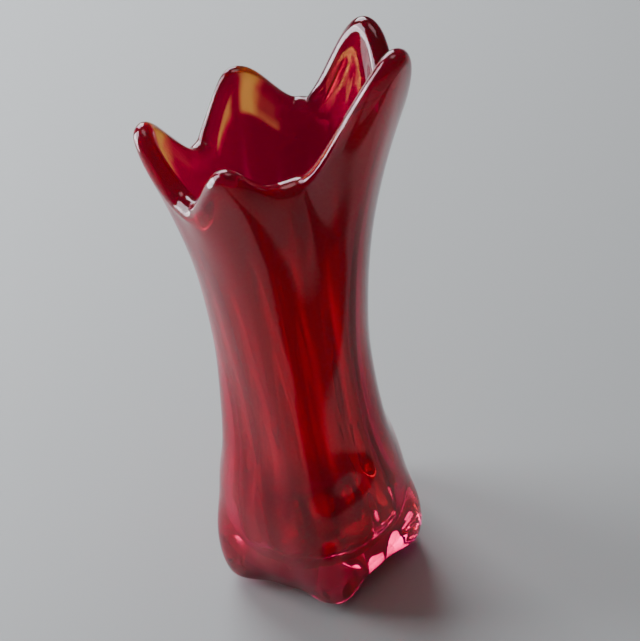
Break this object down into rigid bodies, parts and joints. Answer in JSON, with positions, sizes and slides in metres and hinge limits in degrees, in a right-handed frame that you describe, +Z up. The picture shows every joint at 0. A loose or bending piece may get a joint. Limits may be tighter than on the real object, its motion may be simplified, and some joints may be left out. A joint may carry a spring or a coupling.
{
  "type": "art glass vase",
  "caption": "Tall hand blown art glass vase: ruby glass cased in clear, ribbed and twisted, waisted over a solid foot, with the lip pulled into points.",
  "frame": {"origin": "middle of the flat ground foot, on the surface that the vase stands on", "axes": "+Z up along the vase, -Y towards the front rib at the foot, +X towards the side with the tallest point of the lip"},
  "size_m": [0.1, 0.0881, 0.2778],
  "materials": {
    "clear_glass": "gloss",
    "ruby_glass": "gloss"
  },
  "bodies": {
    "root": {"clear_casing": "clear_glass", "ruby_lining": "ruby_glass"}
  },
  "joints": []
}
